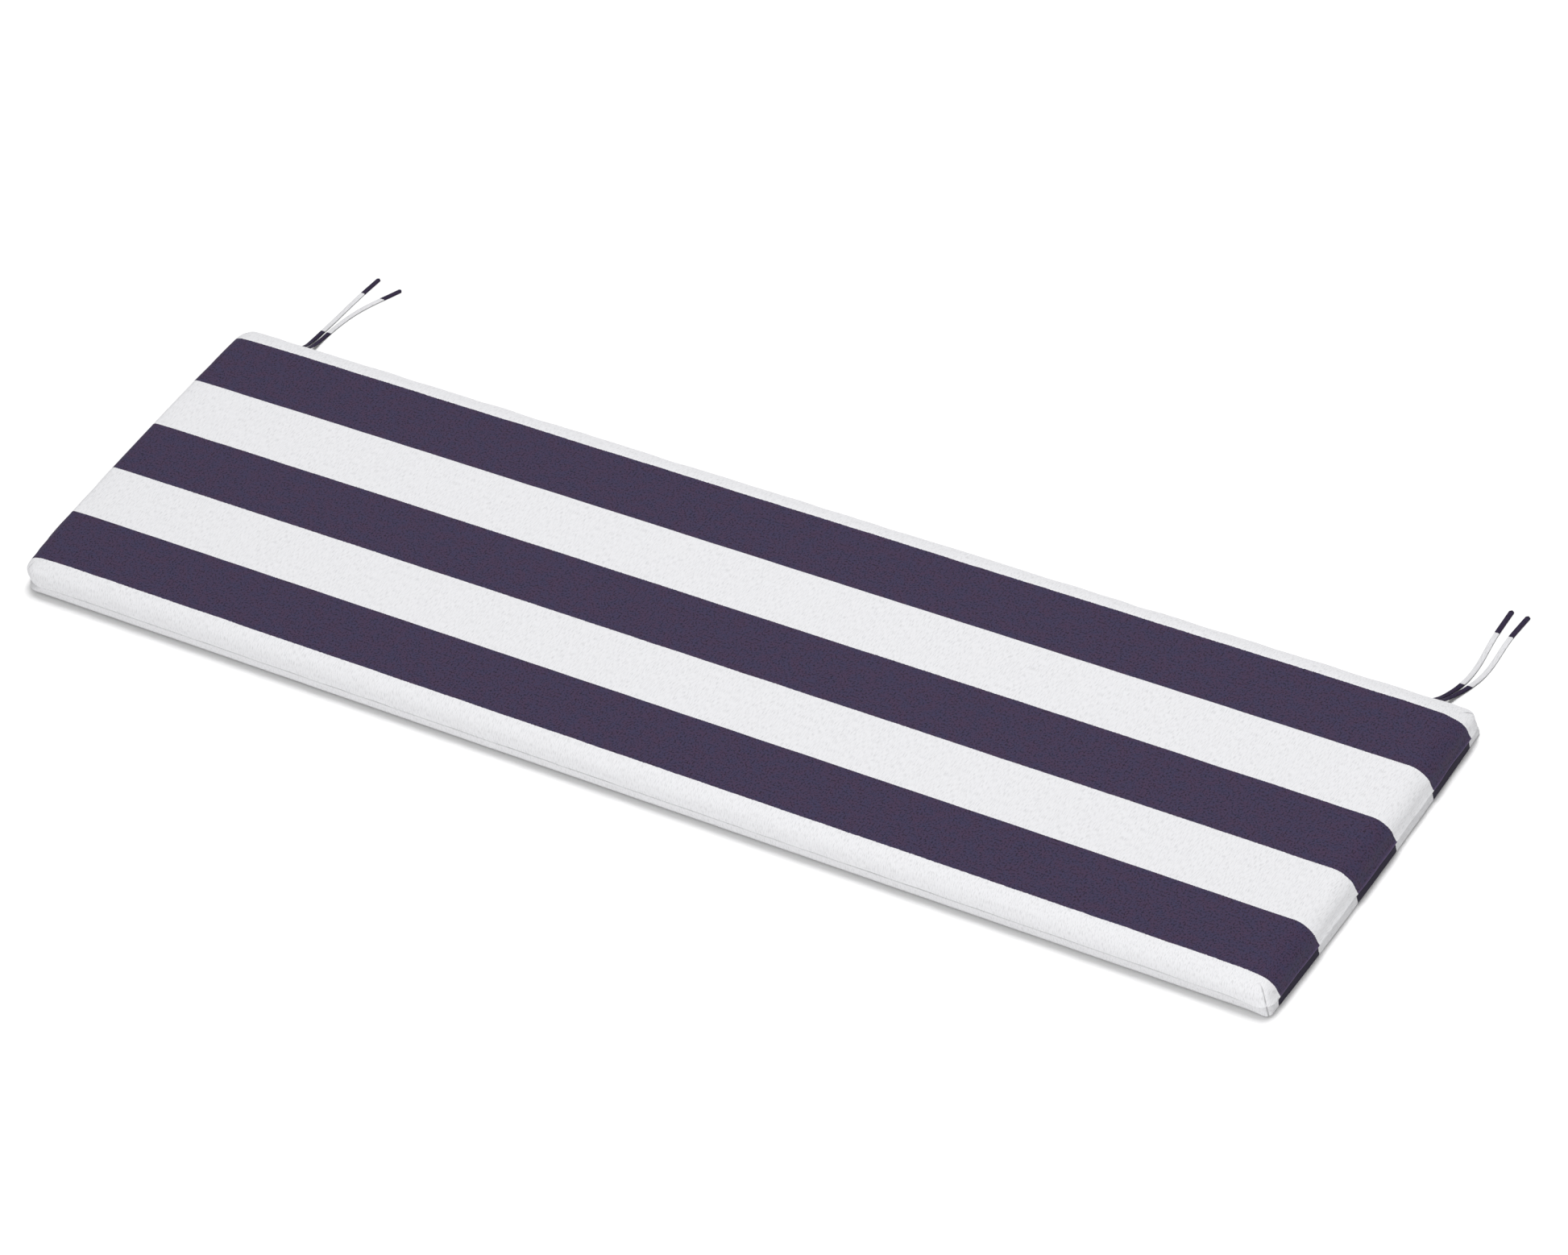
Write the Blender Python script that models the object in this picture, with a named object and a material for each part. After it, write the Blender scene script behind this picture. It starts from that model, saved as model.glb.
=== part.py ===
"""Bench cushion: a long, thin, filled cushion of striped cloth with two pairs of tie tapes.

Two panels meet in one plain seam that runs low round the four sides. Each corner has a short dart in
both panels, so the seam is pinched in there. The cushion lies on its lower panel. X runs along its
length, +Y points to the side with the ties, Z is up, and the origin is on the resting surface, under
the middle of the cushion. All sizes are in metres.
"""

import math

import bmesh
import bpy
from mathutils import Vector

# The cushion. Its outline is the upper panel's, which overhangs the lower panel by LIP.
LENGTH = 1.5034
WIDTH = 0.4004
SHOULDER_HEIGHT = 0.0380
CROWN = 0.0020
EDGE_ROUNDING = 0.024
BOTTOM_ROUNDING = 0.0030
LIP = 0.0009
END_BOW = 0.0030

# The seam: a narrow groove, higher on the long sides than on the ends, where it wanders a little.
SEAM_HEIGHT = 0.0155
END_SEAM_HEIGHT = 0.0135
END_SEAM_WAVE = 0.0018
END_SEAM_REACH = 0.060
GROOVE_DEPTH = 0.0014
GROOVE_HALF_HEIGHT = 0.0013

# Corners, anticlockwise from above: the sides they lie on in X and Y, the plan radii of the two
# panels, and how much rounder the seam's pinch makes the plan at the seam's height.
CORNERS = {
    "front_right": {"side_x": 1, "side_y": -1, "lower": 0.0065, "upper": 0.0080, "pinch": 0.008},
    "back_right": {"side_x": 1, "side_y": 1, "lower": 0.0090, "upper": 0.0100, "pinch": 0.008},
    "back_left": {"side_x": -1, "side_y": 1, "lower": 0.0120, "upper": 0.0130, "pinch": 0.009},
    "front_left": {"side_x": -1, "side_y": -1, "lower": 0.0240, "upper": 0.0180, "pinch": 0.014},
}
PINCH_TOP = 0.55
MIDDLE_WALL_PINCH = 0.25
SOFTENING_START = 0.6
TOP_CORNER_SOFTENING = 0.0060
DART_DEPTH = 0.0013
DART_TOP_ANGLE = 50.0

# Fineness of the cushion's mesh.
CORNER_ANGLES = (0, 18, 33, 41, 45, 49, 57, 72, 90)
LONG_SIDE_SEGMENTS = 30
END_SEGMENTS = 16
BOTTOM_ANGLES = (0, 40, 90)
ROUNDING_ANGLES = (12, 24, 36, 48, 60, 74, 90)
TOP_BORDER = 0.022
SHARPEST_SMOOTH_ANGLE = 40.0

# The ties: width of a strand, its gap to the cushion, the spacing of its section rings, and the
# number of steps taken along the smooth curve between two points of a route.
TIE_WIDTH = 0.0050
TIE_GAP = 0.0003
TIE_RING_SPACING = 0.0100
ROUTE_FINENESS = 12
TIE_EXIT_Y = WIDTH / 2 + TIE_GAP

# Routes of the strands' middle lines, in millimetres: out of the back seam, down and along the floor.
TIE_ROUTES = {
    "tie_left_a": (
        (-681.1, None, 15.5), (-681.6, 204.5, 14.2), (-682.3, 208.5, 12.1), (-683.3, 212.5, 9.9),
        (-684.5, 217.0, 7.8), (-685.6, 222.5, 6.0), (-686.4, 229.0, 4.5), (-686.6, 237.0, 3.3),
        (-686.2, 246.0, 2.8), (-685.5, 255.5, 2.6), (-684.7, 265.5, 2.6), (-684.0, 276.0, 2.6),
        (-683.3, 286.5, 2.6), (-682.5, 297.5, 2.6), (-681.5, 309.0, 2.6), (-680.2, 320.5, 2.6),
        (-679.1, 329.0, 2.6), (-678.1, 337.2, 2.6),
    ),
    "tie_left_b": (
        (-675.5, None, 15.5), (-675.9, 204.5, 14.2), (-676.5, 208.5, 12.1), (-677.3, 212.5, 9.9),
        (-678.1, 217.0, 7.8), (-678.7, 222.5, 6.0), (-679.0, 229.0, 4.5), (-678.9, 237.0, 3.3),
        (-678.2, 246.0, 2.8), (-676.9, 255.5, 2.6), (-675.0, 265.5, 2.6), (-672.3, 276.0, 2.6),
        (-668.6, 286.5, 2.6), (-663.6, 297.5, 2.6), (-657.2, 309.0, 2.6), (-650.3, 320.5, 2.6),
        (-644.3, 330.9, 2.6),
    ),
    "tie_right_a": (
        (690.5, None, 15.5), (690.8, 204.5, 14.2), (691.2, 208.5, 12.1), (691.6, 212.5, 9.9),
        (692.2, 217.0, 7.8), (693.3, 222.5, 6.0), (695.0, 229.0, 4.5), (697.2, 237.0, 3.3),
        (699.3, 246.0, 2.8), (700.7, 255.5, 2.6), (701.1, 265.5, 2.6), (700.7, 276.0, 2.6),
        (699.6, 286.5, 2.6), (698.2, 297.5, 2.6), (696.9, 309.0, 2.6), (696.1, 320.5, 2.6),
        (695.6, 335.0, 2.6), (695.2, 349.5, 2.6),
    ),
    "tie_right_b": (
        (696.4, None, 15.5), (696.7, 204.5, 14.2), (697.0, 208.5, 12.1), (697.3, 212.5, 9.9),
        (697.9, 217.0, 7.8), (699.2, 222.5, 6.0), (701.5, 229.0, 4.5), (704.7, 237.0, 3.3),
        (708.0, 246.0, 2.8), (710.8, 255.5, 2.6), (712.5, 265.5, 2.6), (713.1, 276.0, 2.6),
        (712.8, 286.5, 2.6), (712.1, 297.5, 2.6), (711.5, 309.0, 2.6), (711.5, 320.5, 2.6),
        (712.5, 334.4, 2.6), (713.7, 348.4, 2.6),
    ),
}

COVER_COLOUR = (0.82, 0.82, 0.84, 1.0)
TIE_COLOUR = (0.09, 0.07, 0.13, 1.0)


def remove_scene_objects():
    for item in list(bpy.data.objects):
        bpy.data.objects.remove(item, do_unlink=True)


def cloth_material(name, colour):
    material = bpy.data.materials.new(name)
    material.use_nodes = True
    shader = material.node_tree.nodes["Principled BSDF"]
    shader.inputs["Base Color"].default_value = colour
    shader.inputs["Roughness"].default_value = 0.9
    shader.inputs["Metallic"].default_value = 0.0
    return material


def smooth_step(low, high, value):
    part = min(max((value - low) / (high - low), 0.0), 1.0)
    return part * part * (3.0 - 2.0 * part)


# ---- the cushion's outline and heights ----

def corner_arc(corner, start_angle, level):
    """Points round one corner of the outline at a level; the dart pulls in the middle one."""
    radius = corner[level["panel"]] + corner["pinch"] * level["pinch"] + level["softening"]
    inset = level["inset"]
    centre = Vector((
        corner["side_x"] * (LENGTH / 2 - inset - radius),
        corner["side_y"] * (WIDTH / 2 - inset - radius),
    ))
    middle = len(CORNER_ANGLES) // 2
    points = []
    for index, angle in enumerate(CORNER_ANGLES):
        turn = math.radians(start_angle + angle)
        reach = radius - (level["dart"] if index == middle else 0.0)
        points.append(centre + reach * Vector((math.cos(turn), math.sin(turn))))
    return points


def outline(level):
    """The plan points at a level: each corner's arc, then the side that follows it."""
    arcs = []
    for index, corner in enumerate(CORNERS.values()):
        arcs.append(corner_arc(corner, 90 * index - 90, level))
    points = []
    for index, arc in enumerate(arcs):
        segments = END_SEGMENTS if index % 2 == 0 else LONG_SIDE_SEGMENTS
        following = arcs[(index + 1) % len(arcs)][0]
        points.extend(arc)
        for step in range(1, segments):
            points.append(arc[-1].lerp(following, step / segments))
    return points


def bowed(point):
    """Ends stand out most halfway across the cushion."""
    across = point.y / (WIDTH / 2)
    return Vector((point.x * (1.0 - END_BOW / (LENGTH / 2) * across * across), point.y))


def top_height(point):
    along = 2.0 * point.x / LENGTH
    across = 2.0 * point.y / WIDTH
    return SHOULDER_HEIGHT + CROWN * (1.0 - along ** 4) * (1.0 - across ** 2)


def seam_height(point):
    end_height = END_SEAM_HEIGHT + END_SEAM_WAVE * math.sin(math.tau * point.y / WIDTH)
    end_share = smooth_step(LENGTH / 2 - END_SEAM_REACH, LENGTH / 2, abs(point.x))
    return SEAM_HEIGHT + (end_height - SEAM_HEIGHT) * end_share


# ---- the cushion's rings, from the resting face up to the top face ----

def ring(height_at, panel, inset, pinch=0.0, softening=0.0, dart=DART_DEPTH):
    """One closed row of points round a panel, with the height that height_at gives each."""
    level = {"panel": panel, "inset": inset, "pinch": pinch, "softening": softening, "dart": dart}
    points = []
    for point in outline(level):
        placed = bowed(point)
        points.append(Vector((placed.x, placed.y, height_at(placed))))
    return points


def lower_edge_height(point):
    return seam_height(point) - GROOVE_HALF_HEIGHT


def upper_edge_height(point):
    return seam_height(point) + GROOVE_HALF_HEIGHT


def lower_panel_rings():
    rings = []
    for angle in BOTTOM_ANGLES:
        turn = math.radians(angle)
        inset = LIP + BOTTOM_ROUNDING * (1.0 - math.sin(turn))
        height = BOTTOM_ROUNDING * (1.0 - math.cos(turn))
        rings.append(ring(lambda point, height=height: height, "lower", inset, dart=DART_DEPTH / 2))

    def middle_height(point):
        return (BOTTOM_ROUNDING + lower_edge_height(point)) / 2

    rings.append(ring(middle_height, "lower", LIP, pinch=MIDDLE_WALL_PINCH))
    rings.append(ring(lower_edge_height, "lower", LIP, pinch=1.0))
    return rings


def upper_panel_rings():
    """The panel's turned-down edge: a quarter of an ellipse from the seam up to the top face."""
    rings = [ring(upper_edge_height, "upper", 0.0, pinch=1.0)]
    for angle in ROUNDING_ANGLES:
        turn = math.radians(angle)
        rise = math.sin(turn)

        def rounded_height(point, rise=rise):
            foot = upper_edge_height(point)
            return foot + (top_height(point) - foot) * rise

        rings.append(ring(
            rounded_height, "upper", EDGE_ROUNDING * (1.0 - math.cos(turn)),
            pinch=1.0 - smooth_step(0.0, PINCH_TOP, rise),
            softening=TOP_CORNER_SOFTENING * smooth_step(SOFTENING_START, 1.0, rise),
            dart=DART_DEPTH if angle < DART_TOP_ANGLE else 0.0,
        ))
    return rings


def cushion_rings():
    groove = ring(seam_height, "lower", LIP + GROOVE_DEPTH, pinch=1.0)
    return lower_panel_rings() + [groove] + upper_panel_rings()


# ---- the cushion's mesh ----

def join_rings(mesh, lower, upper):
    count = len(lower)
    for index in range(count):
        following = (index + 1) % count
        mesh.faces.new((lower[index], lower[following], upper[following], upper[index]))


def top_grid(mesh):
    """The crowned top face's points, in columns along X."""
    half_x = LENGTH / 2 - EDGE_ROUNDING - TOP_BORDER
    half_y = WIDTH / 2 - EDGE_ROUNDING - TOP_BORDER
    columns = []
    for column in range(LONG_SIDE_SEGMENTS + 1):
        x = half_x * (2.0 * column / LONG_SIDE_SEGMENTS - 1.0)
        points = []
        for row in range(END_SEGMENTS + 1):
            y = half_y * (2.0 * row / END_SEGMENTS - 1.0)
            placed = bowed(Vector((x, y)))
            points.append(mesh.verts.new((placed.x, placed.y, top_height(placed))))
        columns.append(points)
    return columns


def close_top(mesh, rim):
    """Fills the last ring with the grid, whose sides have the same number of steps as the rim's."""
    columns = top_grid(mesh)
    for column in range(LONG_SIDE_SEGMENTS):
        for row in range(END_SEGMENTS):
            mesh.faces.new((
                columns[column][row], columns[column + 1][row],
                columns[column + 1][row + 1], columns[column][row + 1],
            ))
    right = columns[-1]
    back = [points[-1] for points in reversed(columns)]
    left = list(reversed(columns[0]))
    front = [points[0] for points in columns]
    arc_steps = len(CORNER_ANGLES) - 1
    start = 0
    for side in (right, back, left, front):
        for step in range(arc_steps):
            mesh.faces.new((rim[start + step], rim[start + step + 1], side[0]))
        start += arc_steps
        for step in range(len(side) - 1):
            outer = start + step
            following = (outer + 1) % len(rim)
            mesh.faces.new((rim[outer], rim[following], side[step + 1], side[step]))
        start += len(side) - 1


def make_cushion():
    mesh = bmesh.new()
    rows = []
    for points in cushion_rings():
        rows.append([mesh.verts.new(point) for point in points])
    mesh.faces.new(list(reversed(rows[0])))
    for lower, upper in zip(rows, rows[1:]):
        join_rings(mesh, lower, upper)
    close_top(mesh, rows[-1])
    data = bpy.data.meshes.new("cushion")
    mesh.to_mesh(data)
    mesh.free()
    data.shade_smooth()
    data.set_sharp_from_angle(angle=math.radians(SHARPEST_SMOOTH_ANGLE))
    cushion = bpy.data.objects.new("cushion", data)
    data.materials.append(cloth_material("cushion_cover", COVER_COLOUR))
    bpy.context.scene.collection.objects.link(cushion)
    return cushion


# ---- the ties ----

def route_points(route):
    """The route in metres; its first point lies on the plane where the tie leaves the back seam."""
    points = []
    for x, y, z in route:
        place_y = TIE_EXIT_Y if y is None else y / 1000
        points.append(Vector((x / 1000, place_y, z / 1000)))
    return points


def curve_point(before, start, end, after, share):
    """A point of the smooth curve that passes through every point of the route."""
    bend = 2.0 * before - 5.0 * start + 4.0 * end - after
    twist = 3.0 * (start - end) + after - before
    return start + 0.5 * share * (end - before + share * (bend + share * twist))


def smooth_route(points, spacing):
    """Points an even distance apart on the smooth curve through the route's own points."""
    ends = [2 * points[0] - points[1]] + points + [2 * points[-1] - points[-2]]
    fine = [points[0]]
    for index in range(len(points) - 1):
        before, start, end, after = ends[index:index + 4]
        for step in range(1, ROUTE_FINENESS + 1):
            fine.append(curve_point(before, start, end, after, step / ROUTE_FINENESS))
    travelled = [0.0]
    for start, end in zip(fine, fine[1:]):
        travelled.append(travelled[-1] + (end - start).length)
    count = max(round(travelled[-1] / spacing), 2)
    even = []
    place = 0
    for step in range(count + 1):
        wanted = travelled[-1] * step / count
        while place < len(fine) - 2 and travelled[place + 1] < wanted:
            place += 1
        stretch = travelled[place + 1] - travelled[place]
        even.append(fine[place].lerp(fine[place + 1], (wanted - travelled[place]) / stretch))
    return even


def make_tie(name, route):
    curve = bpy.data.curves.new(name, "CURVE")
    curve.dimensions = "3D"
    curve.bevel_depth = TIE_WIDTH / 2
    curve.bevel_resolution = 2
    curve.use_fill_caps = True
    points = smooth_route(route_points(route), TIE_RING_SPACING)
    spline = curve.splines.new("POLY")
    spline.points.add(len(points) - 1)
    for target, point in zip(spline.points, points):
        target.co = (point.x, point.y, point.z, 1.0)
    curve.materials.append(cloth_material(name + "_tape", TIE_COLOUR))
    tie = bpy.data.objects.new(name, curve)
    bpy.context.scene.collection.objects.link(tie)
    return tie


def main():
    remove_scene_objects()
    make_cushion()
    for name, route in TIE_ROUTES.items():
        make_tie(name, route)


main()
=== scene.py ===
"""Bench cushion, dressed: the striped cloth cover with its seam and darts, and the four tie tapes.

The cover is one closed mesh: rings from the resting face up to the top, finer than the CAD part and
close to its profile, and a grid on top. A cloth simulation adds uneven puckers to its walls between
the seam and the top. The meshes carry measures: the UV map "cloth", the place in the flat cloth in
metres, for weave and slubs, and point attributes: "across" says where the stripes change, "shade"
how much darker the cloth is, mostly by painted shade, and the third how much a painted highlight
pales it.
All sizes are in metres, in the row frame: X along the cushion, +Y to the side with the ties, Z up.
"""

import math

import bpy
import numpy as np
from mathutils import Matrix, Vector, noise


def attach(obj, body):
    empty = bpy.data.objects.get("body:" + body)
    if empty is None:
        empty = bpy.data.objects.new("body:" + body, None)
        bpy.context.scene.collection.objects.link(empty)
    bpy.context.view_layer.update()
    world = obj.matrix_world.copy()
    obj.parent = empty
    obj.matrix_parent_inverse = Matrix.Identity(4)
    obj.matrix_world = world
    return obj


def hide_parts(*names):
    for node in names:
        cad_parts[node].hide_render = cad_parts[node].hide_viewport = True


# The camera that fits the photograph.
CAMERA_AZIMUTH = math.radians(44.0665)
CAMERA_ELEVATION = math.radians(42.4852)
CAMERA_ROLL = math.radians(-15.2344)
CAMERA_DISTANCE = 6.42071
CAMERA_TARGET = Vector((0.03493, 0.05928, 0.0))
CAMERA_LENS = 149.516
SENSOR_WIDTH = 36.0

# The studio: even white light all round, a large soft lamp above and a little behind the cushion, and
# a low one in front that fills its near walls. Each lamp has a place, a size and a power.
STUDIO_LIGHT = 0.42
LAMPS = {
    "lamp_above": ((0.10, 1.80, 6.0), 3.0, 298.0),
    "lamp_in_front": ((2.1, -5.0, 1.5), 2.5, 150.0),
}
FLOOR_SIZE = 20.0
FLOOR_COLOUR = (0.95, 0.95, 0.95, 1.0)

# The cushion: the CAD part's sizes, but for the ends' seam, the front left corner, the darts, and
# below them the lower and the left upper edge, which follow the photograph more closely.
LENGTH = 1.5034
WIDTH = 0.4004
SHOULDER_HEIGHT = 0.0380
CROWN = 0.0020
EDGE_ROUNDING = 0.024
LIP = 0.0009
END_BOW = 0.0030
SEAM_HEIGHT = 0.0155
END_SEAM_HEIGHT = 0.0128
END_SEAM_REACH = 0.060
GROOVE_HALF_HEIGHT = 0.0013

# The corners: radii of both panels, and how much rounder the seam pinches them. The pinch fades out
# up to the first share of the upper panel's rise, and the top softens them from the second on.
CORNERS = (
    {"side_x": 1, "side_y": -1, "lower": 0.0065, "upper": 0.0080, "pinch": 0.008},
    {"side_x": 1, "side_y": 1, "lower": 0.0090, "upper": 0.0100, "pinch": 0.008},
    {"side_x": -1, "side_y": 1, "lower": 0.0120, "upper": 0.0130, "pinch": 0.009},
    {"side_x": -1, "side_y": -1, "lower": 0.0190, "upper": 0.0180, "pinch": 0.012},
)
PINCH_TOP = 0.55
SOFTENING_START = 0.6
TOP_CORNER_SOFTENING = 0.0060

# The darts' depth and half width, and between which angles of the upper panel's edge they fade out.
DART_DEPTH = 0.0010
DART_HALF_WIDTH = 0.0007
DART_ENDS = (40.0, 54.0)

# The lower panel's rounded edge: how far it draws in and how high it reaches, on the long sides and
# on the ends. What the ends have of their own starts at the first distance from the cushion's end
# and is full at the second.
LOWER_EDGE_INSET = 0.0056
LOWER_EDGE_HEIGHT = 0.0070
LOWER_EDGE_INSET_AT_ENDS = 0.0022
LOWER_EDGE_HEIGHT_AT_ENDS = 0.0035
END_STARTS = 0.030
END_IS_FULL = 0.010

# The left end's upper edge is tighter: from this share of the rise its wall leans in straight to a
# small arc, which ends this far in on the top face.
LEFT_LEAN_START = 0.285
LEFT_ARC_START = 0.838
LEFT_ARC_RADIUS = 0.0080
LEFT_ARC_INSET = 0.0158

# Fineness of the cover's mesh.
CORNER_ANGLES = (0, 8, 16, 23, 29, 34, 38, 41, 43, 44.2, 45, 45.8, 47, 49, 52, 56, 61, 67, 74, 82, 90)
LONG_SIDE_SEGMENTS = 400
END_SEGMENTS = 104
BOTTOM_ANGLES = (0, 22, 42, 60, 75, 90)
WALL_SHARES = (0.3, 0.6, 0.85)
ROUNDING_ANGLES = (2, 4, 6.5, 9, 12, 16, 20, 25, 30, 36, 42, 49, 56, 63, 70, 77, 84, 90)
INNER_RING_STEPS = 4
INNER_RING_SPACING = 0.0055

# The seam's section, from the lower panel up to the upper one: height from its middle line and
# inset, and the index of its deepest point.
SEAM_SECTION = (
    (-0.0022, 0.0000), (-0.0014, 0.0001), (-0.0009, 0.0004), (-0.0004, 0.0012), (0.0000, 0.0019),
    (0.0004, 0.0012), (0.0008, 0.0005), (0.0013, 0.0001),
)
SEAM_BOTTOM = 4

# The cloth's relief beside the seam, by the distance from it along the surface: the turned edge that
# stands out, the valley above it and two sizes of unevenness. The ends add their own share.
TURNED_EDGE_PLACE = 0.0023
TURNED_EDGE_WIDTH = 0.0012
TURNED_EDGE_RISE = 0.0003
TURNED_EDGE_ADDED_AT_ENDS = 0.0008
VALLEY_PLACE = 0.0090
VALLEY_WIDTH = 0.0045
VALLEY_DEPTH = 0.0002
VALLEY_ADDED_AT_ENDS = 0.0009
UNEVEN_REACH = 0.018
UNEVEN_SIZE = 0.030
UNEVEN_RISE = 0.00025
FINE_UNEVEN_SIZE = 0.011
FINE_UNEVEN_RISE = 0.00010

# The stuffed front corner of the left end and the dip beside it, by their places across the cushion,
# and how far above the seam they start and end.
EAR_STARTS = (0.003, 0.008)
EAR_ENDS = (0.026, 0.036)
EAR_PLACE = -0.188
EAR_WIDTH = 0.008
EAR_RISE = 0.0006
DIP_PLACE = -0.163
DIP_WIDTH = 0.009
DIP_DEPTH = 0.0026

# Shares of painted shade: in the seam's groove, seen just below its bottom, in the darts' grooves,
# on the lower panel on the ends and on the long sides, where it grows to the right, and on its lower
# edge. The cloth just above the seam has a share of the long sides' painted shade.
SEAM_LINE_PLACE = -0.0008
SEAM_LINE_WIDTH = 0.0008
SEAM_LINE_SHADE = 0.42
DART_SHADE = 0.42
END_PANEL_SHADE = 0.12
SIDE_PANEL_SHADE = 0.06
SIDE_PANEL_ADDED_TO_RIGHT = 0.07
BESIDE_SEAM_REACH = 0.0075
BESIDE_SEAM_SHARE = 0.7
LOWER_EDGE_SHADE = 2.0
DARKEST_SHADE = 0.6

# How far the turned edge is paled by a painted highlight on the long sides, and how much more at the
# ends.
EDGE_HIGHLIGHT = 0.15
EDGE_HIGHLIGHT_ADDED_AT_ENDS = 0.75

# The simulation: how much smaller the cushion starts, how loosely its free points are held, the
# cloth's slack, the pressure, the cloth's stiffness, how far a point may move from the even profile,
# and how far along the ring the moves are evened out, in points: up to the reach, fading by the
# spread.
SWELLING = 0.0010
TETHER = 0.06
SLACK = 0.010
PRESSURE = 12.0
STRETCH_STIFFNESS = 20.0
SHEAR_STIFFNESS = 6.0
BENDING_STIFFNESS = 2.0
LARGEST_MOVE = 0.0015
SIMULATION_FRAMES = 20
SIMULATION_RING_SPACING = 0.0034
EVENED_REACH = 10
EVENED_SPREAD = 2.5

# Where the stripes change colour across the cloth, and how far the lower panel's stripes are off.
STRIPE_EDGES = (-0.1806, -0.1109, -0.0412, 0.0306, 0.1018, 0.1749)
LOWER_PANEL_SHIFT = 0.0015

# The ties: flat tapes, narrower near the seam, for the CAD part's round tubes. They start a little
# inside the cushion's side, sink from the tubes' middle lines to a flat tape's own between two
# heights, and their tips go on a little past the routes. The routes are the tubes' middle lines in
# millimetres, as in the CAD part.
TIE_DIAMETER = 0.0050
TIE_WIDTH = 0.0056
TIE_WIDTH_SHARE_AT_SEAM = 0.82
TIE_WIDENS = (0.020, 0.060)
TIE_THICKNESS = 0.0017
TIE_SETTLES = (0.0045, 0.0129)
TIE_SECTION_POINTS = 16
TIE_SECTION_POWERS = (0.7, 0.6)
TIE_RING_SPACING = 0.0012
TIE_TIP_LENGTH = 0.0014
TIE_TIP_WIDTH_SHARE_SQUARED = 0.06
TIE_EXTRA_LENGTH = 0.0012
TIE_START_Y = WIDTH / 2 - 0.0015
TIE_SHADE = 0.055
TIE_UNDERSIDE_SHADE = 0.55
TIE_WHITE_STRETCHES = {"left": (0.2461, 0.3121), "right": (0.2450, 0.3183)}
ROUTE_FINENESS = 12
TIE_ROUTES = {
    "tie_left_a": (
        (-681.1, None, 15.5), (-681.6, 204.5, 14.2), (-682.3, 208.5, 12.1), (-683.3, 212.5, 9.9),
        (-684.5, 217.0, 7.8), (-685.6, 222.5, 6.0), (-686.4, 229.0, 4.5), (-686.6, 237.0, 3.3),
        (-686.2, 246.0, 2.8), (-685.5, 255.5, 2.6), (-684.7, 265.5, 2.6), (-684.0, 276.0, 2.6),
        (-683.3, 286.5, 2.6), (-682.5, 297.5, 2.6), (-681.5, 309.0, 2.6), (-680.2, 320.5, 2.6),
        (-679.1, 329.0, 2.6), (-678.1, 337.2, 2.6),
    ),
    "tie_left_b": (
        (-675.5, None, 15.5), (-675.9, 204.5, 14.2), (-676.5, 208.5, 12.1), (-677.3, 212.5, 9.9),
        (-678.1, 217.0, 7.8), (-678.7, 222.5, 6.0), (-679.0, 229.0, 4.5), (-678.9, 237.0, 3.3),
        (-678.2, 246.0, 2.8), (-676.9, 255.5, 2.6), (-675.0, 265.5, 2.6), (-672.3, 276.0, 2.6),
        (-668.6, 286.5, 2.6), (-663.6, 297.5, 2.6), (-657.2, 309.0, 2.6), (-650.3, 320.5, 2.6),
        (-644.3, 330.9, 2.6),
    ),
    "tie_right_a": (
        (690.5, None, 15.5), (690.8, 204.5, 14.2), (691.2, 208.5, 12.1), (691.6, 212.5, 9.9),
        (692.2, 217.0, 7.8), (693.3, 222.5, 6.0), (695.0, 229.0, 4.5), (697.2, 237.0, 3.3),
        (699.3, 246.0, 2.8), (700.7, 255.5, 2.6), (701.1, 265.5, 2.6), (700.7, 276.0, 2.6),
        (699.6, 286.5, 2.6), (698.2, 297.5, 2.6), (696.9, 309.0, 2.6), (696.1, 320.5, 2.6),
        (695.6, 335.0, 2.6), (695.2, 349.5, 2.6),
    ),
    "tie_right_b": (
        (696.4, None, 15.5), (696.7, 204.5, 14.2), (697.0, 208.5, 12.1), (697.3, 212.5, 9.9),
        (697.9, 217.0, 7.8), (699.2, 222.5, 6.0), (701.5, 229.0, 4.5), (704.7, 237.0, 3.3),
        (708.0, 246.0, 2.8), (710.8, 255.5, 2.6), (712.5, 265.5, 2.6), (713.1, 276.0, 2.6),
        (712.8, 286.5, 2.6), (712.1, 297.5, 2.6), (711.5, 309.0, 2.6), (711.5, 320.5, 2.6),
        (712.5, 334.4, 2.6), (713.7, 348.4, 2.6),
    ),
}

# Colours, linear, and what multiplies the dark cloth's for bluer and redder yarn and a painted
# highlight.
BLACK = (0.0, 0.0, 0.0, 1.0)
WHITE_CLOTH = (0.705, 0.705, 0.722)
# The dark cloth's colour holds a painted sheen on top of its dye; the shaded copy is darker, without
# it, and is mixed in as painted shade.
DARK_CLOTH = (0.0438, 0.0311, 0.0690)
SHADED_DARK_CLOTH = (0.010, 0.006, 0.022, 1.0)
BLUISH_YARN = (0.72, 1.08, 1.16)
REDDISH_YARN = (1.28, 0.92, 0.90)
HIGHLIGHTED_YARN = (2.3, 2.3, 2.2)

# The weave: the distance between threads, how many threads a slanting rib of the twill is wide, and
# half the width over which one stripe turns into the next.
THREAD_PITCH = 0.0007
THREADS_PER_RIB = 3.0
STRIPE_BLUR = 0.0003


def smooth_step(low, high, value):
    """0 up to low, 1 from high on, and a smooth S between."""
    part = np.clip((value - low) / (high - low), 0.0, 1.0)
    return part * part * (3.0 - 2.0 * part)


def hump(value, place, width):
    """1 where the value is at the place, falling smoothly to 0 a few widths away."""
    return np.exp(-((value - place) / width) ** 2)


def near_end(points):
    """0 on the long sides to 1 at the cushion's ends."""
    return smooth_step(LENGTH / 2 - END_STARTS, LENGTH / 2 - END_IS_FULL, np.abs(points[..., 0]))


# ---- camera, lights and floor ----

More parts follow.
